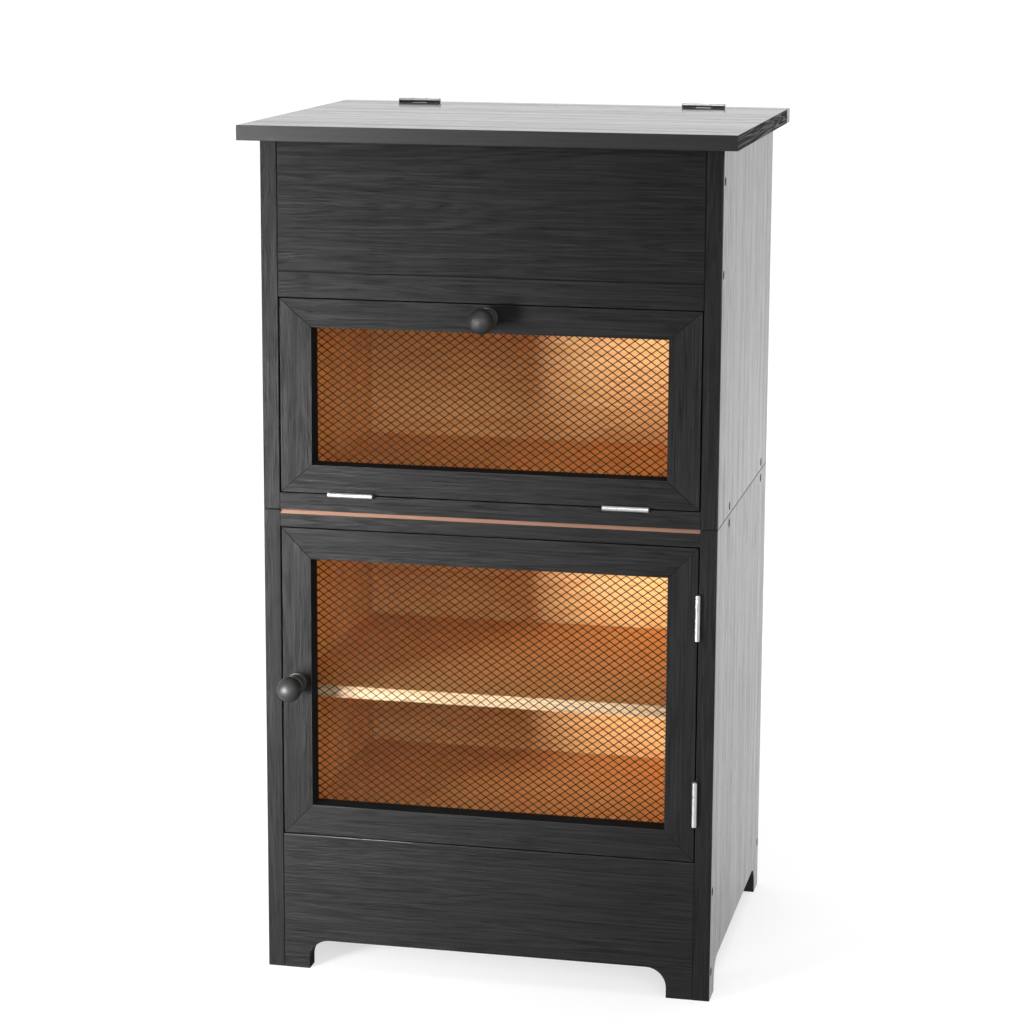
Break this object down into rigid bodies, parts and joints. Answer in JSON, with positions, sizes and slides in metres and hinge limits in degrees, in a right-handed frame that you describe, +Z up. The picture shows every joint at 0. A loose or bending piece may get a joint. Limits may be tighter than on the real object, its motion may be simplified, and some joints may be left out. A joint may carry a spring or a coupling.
{
  "type": "potato storage bin",
  "caption": "Tall free-standing kitchen storage cupboard: a deep bin under a lift-up lid, a drop-down mesh door below it, then a side-hinged mesh door and arched feet.",
  "frame": {"origin": "middle of the footprint of the whole object's box, on the floor", "axes": "+X to the right seen from the front, +Y from the front to the back, +Z up"},
  "size_m": [0.428, 0.3644, 0.7599],
  "materials": {
    "black_board": "black wood-grain foil on board, satin",
    "light_wood": "bare light wood, matt",
    "black_wire": "black, satin",
    "black_turned_wood": "black lacquer, semi-gloss",
    "zinc_steel": "zinc plated",
    "dark_screw": "blackened steel",
    "catch_plastic": "white, moulded",
    "magnet": "sintered ferrite",
    "dowel_wood": "bare beech"
  },
  "bodies": {
    "carcass": {"lower_side_left": "black_board", "lower_side_right": "black_board", "lower_top_board": "black_board", "lower_bottom_board": "black_board", "lower_back_panel": "black_board", "apron": "black_board", "upper_side_left": "black_board", "upper_side_right": "black_board", "upper_bottom_board": "black_board", "upper_front_panel": "black_board", "upper_back_panel": "black_board", "lid_hinge_rail": "black_board", "shelf": "light_wood", "bin_floor": "light_wood", "shelf_pins": "zinc_steel", "carcass_screws": "dark_screw", "dowels": "dowel_wood", "carcass_hinge_screws": "zinc_steel", "catch_magnets": "magnet", "catch_screws": "zinc_steel", "bread_catch": "catch_plastic", "lower_catch": "catch_plastic", "lid_hinge_left_fixed_leaf": "zinc_steel", "lid_hinge_right_fixed_leaf": "zinc_steel", "bread_hinge_left_fixed_leaf": "zinc_steel", "bread_hinge_right_fixed_leaf": "zinc_steel", "lower_hinge_top_fixed_leaf": "zinc_steel", "lower_hinge_bottom_fixed_leaf": "zinc_steel", "lid_hinge_pins": "zinc_steel", "bread_hinge_pins": "zinc_steel", "lower_hinge_pins": "zinc_steel"},
    "lid": {"lid_board": "black_board", "lid_screws": "zinc_steel", "lid_hinge_left_moving_leaf": "zinc_steel", "lid_hinge_right_moving_leaf": "zinc_steel"},
    "bread_door": {"bread_hinge_left_moving_leaf": "zinc_steel", "bread_hinge_right_moving_leaf": "zinc_steel", "bread_door_top_rail": "black_board", "bread_door_bottom_rail": "black_board", "bread_door_left_stile": "black_board", "bread_door_right_stile": "black_board", "bread_door_mesh": "black_wire", "bread_door_staples": "zinc_steel", "bread_door_knob": "black_turned_wood", "bread_door_knob_screw": "zinc_steel", "bread_door_strike": "zinc_steel", "bread_door_screws": "zinc_steel"},
    "lower_door": {"lower_hinge_top_moving_leaf": "zinc_steel", "lower_hinge_bottom_moving_leaf": "zinc_steel", "lower_door_top_rail": "black_board", "lower_door_bottom_rail": "black_board", "lower_door_left_stile": "black_board", "lower_door_right_stile": "black_board", "lower_door_mesh": "black_wire", "lower_door_staples": "zinc_steel", "lower_door_knob": "black_turned_wood", "lower_door_knob_screw": "zinc_steel", "lower_door_strike": "zinc_steel", "lower_door_screws": "zinc_steel"}
  },
  "joints": [
    {"name": "lid_hinge", "type": "hinge", "parent": "carcass", "child": "lid", "pos_m": [0, 0.16165, 0.7575], "axis": [-1, 0, 0], "range_deg": [0, 105]},
    {"name": "bread_door_hinge", "type": "hinge", "parent": "carcass", "child": "bread_door", "pos_m": [0, -0.14825, 0.4356], "axis": [1, 0, 0], "range_deg": [0, 90]},
    {"name": "lower_door_hinge", "type": "hinge", "parent": "carcass", "child": "lower_door", "pos_m": [0.1844, -0.14825, 0.261], "axis": [0, 0, 1], "range_deg": [0, 180]}
  ]
}
